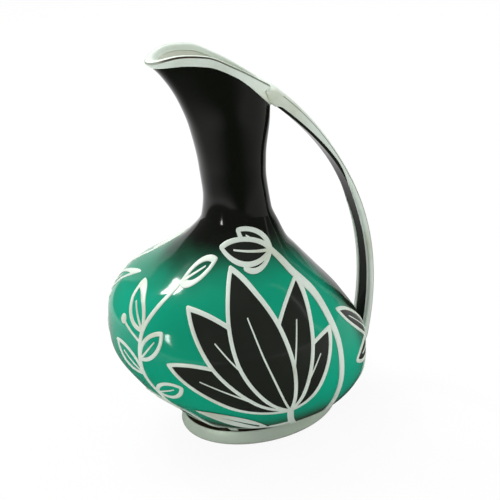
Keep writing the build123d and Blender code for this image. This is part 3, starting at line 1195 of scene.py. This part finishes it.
def make_world():
    """White where it is seen or mirrored, with softer light on the jug."""
    world = bpy.data.worlds.new("studio")
    world.use_nodes = True
    bpy.context.scene.world = world
    tree = world.node_tree
    background = tree.nodes["Background"]
    background.inputs["Color"].default_value = (1, 1, 1, 1)
    strength = tree.nodes.new("ShaderNodeMix")
    strength.inputs["A"].default_value = world_light
    strength.inputs["B"].default_value = 1.0
    seen = ray_is(tree, "Is Camera Ray", "Is Glossy Ray", "Is Transmission Ray")
    tree.links.new(seen, strength.inputs["Factor"])
    tree.links.new(strength.outputs["Result"], background.inputs["Strength"])


def make_lamp(name, place, size, power, mirrored):
    """A soft rectangular lamp aimed at the jug."""
    data = bpy.data.lights.new(name, "AREA")
    data.shape = "RECTANGLE"
    data.size, data.size_y = size
    data.energy = power
    lamp = bpy.data.objects.new(name, data)
    lamp.location = place
    lamp.rotation_mode = "QUATERNION"
    lamp.rotation_quaternion = (Vector(lamp_target) - Vector(place)).to_track_quat("-Z", "Y")
    lamp.visible_glossy = mirrored
    bpy.context.scene.collection.objects.link(lamp)


def make_card(name, place, facing, size, level, colouring=None):
    """A card of one brightness, or coloured by nodes, which only glaze and silver reflect."""
    width, depth = size[0] / 2, size[1] / 2
    mesh = bpy.data.meshes.new(name)
    corners = [(-width, -depth, 0), (width, -depth, 0), (width, depth, 0), (-width, depth, 0)]
    mesh.from_pydata(corners, [], [(0, 1, 2, 3)])
    card = bpy.data.objects.new(name, mesh)
    bpy.context.scene.collection.objects.link(card)
    card.location = place
    if facing:
        card.rotation_mode = "QUATERNION"
        card.rotation_quaternion = Vector(facing).to_track_quat("Z", "Y")
    made, tree, shader = principled(name, roughness=0.9)
    shader.inputs["Base Color"].default_value = (0, 0, 0, 1)
    shader.inputs["Emission Color"].default_value = (1, 1, 1, 1)
    shader.inputs["Emission Strength"].default_value = level
    if colouring:
        tree.links.new(colouring(tree), shader.inputs["Emission Color"])
    mesh.materials.append(made)
    card.visible_camera = False
    card.visible_shadow = False
    card.visible_diffuse = False


def grey(level):
    """A grey of this brightness."""
    return (level, level, level)


def table_colour(tree):
    """White behind the jug, dimmer on its left and right, and dark in front and far to the left."""
    x, y, _ = axes_of(tree)
    front = ramp(tree, x, *table_front_places)
    behind = ramp(tree, y, *table_behind_places)
    far_left = ramp(tree, x, *table_far_places)
    right = ramp(tree, x, *table_right_places)
    colour = mixed(tree, front, grey(table_left_level), grey(table_front_level))
    colour = mixed(tree, behind, colour, grey(table_behind_level))
    colour = mixed(tree, far_left, colour, grey(table_far_level))
    return mixed(tree, right, colour, grey(table_right_level))


def make_room():
    """Walls, a ceiling and the table, as the jug mirrors them."""
    for name, azimuth, level in room_walls:
        turn = math.radians(azimuth)
        out = Vector((math.sin(turn), -math.cos(turn), 0))
        middle = out * room_distance + Vector((0, 0, wall_size[1] / 2))
        make_card(f"room_{name}", middle, out, wall_size, level)
    make_card("room_ceiling", ceiling_place, (0, 0, -1), ceiling_size, ceiling_level)
    make_card("room_table", table_place, None, table_size, level=1.0, colouring=table_colour)


def make_camera():
    """The photograph's viewpoint, tilted a little as it is."""
    azimuth, elevation = math.radians(camera_azimuth), math.radians(camera_elevation)
    roll = Quaternion((0, 0, 1), math.radians(camera_roll))
    back = Vector((
        math.sin(azimuth) * math.cos(elevation),
        -math.cos(azimuth) * math.cos(elevation),
        math.sin(elevation),
    ))
    data = bpy.data.cameras.new("camera")
    data.sensor_width = sensor_width
    data.lens = sensor_width * focal_share
    camera = bpy.data.objects.new("camera", data)
    camera.location = Vector(camera_aim) * MM + back * camera_distance
    camera.rotation_mode = "QUATERNION"
    camera.rotation_quaternion = (-back).to_track_quat("-Z", "Y") @ roll
    bpy.context.scene.collection.objects.link(camera)
    bpy.context.scene.camera = camera


# The jug

jug_glaze_look = jug_glaze()
black_glaze_look = black_glaze("black_glaze", gloss=0.5)
strip_glaze_look = black_glaze("strip_glaze", gloss=0.02)
white_glaze_look = white_glaze()
silver_look = silver("silver", metallic=0.28, clean=silver_clean)
bright_silver_look = silver("bright_silver", metallic=0.42, clean=silver_bright)
# Painted shade for the thin dark lines along the lip and down the handle
painted_shade_line_look = painted_shade_line()

make_outside()
make_inside()
make_foot_ring()
make_underside()
make_rim_band()
make_rim_line()
make_foot_band()
make_handle_strap()
make_handle_silver()
make_handle_line()
make_bloom()
make_bud()
make_spray()
make_root_leaves()
dress_root_band()

# Its studio

make_floor()
make_world()
for lamp_row in lamps:
    make_lamp(*lamp_row)
make_room()
make_camera()
bpy.context.scene.view_settings.view_transform = "Standard"
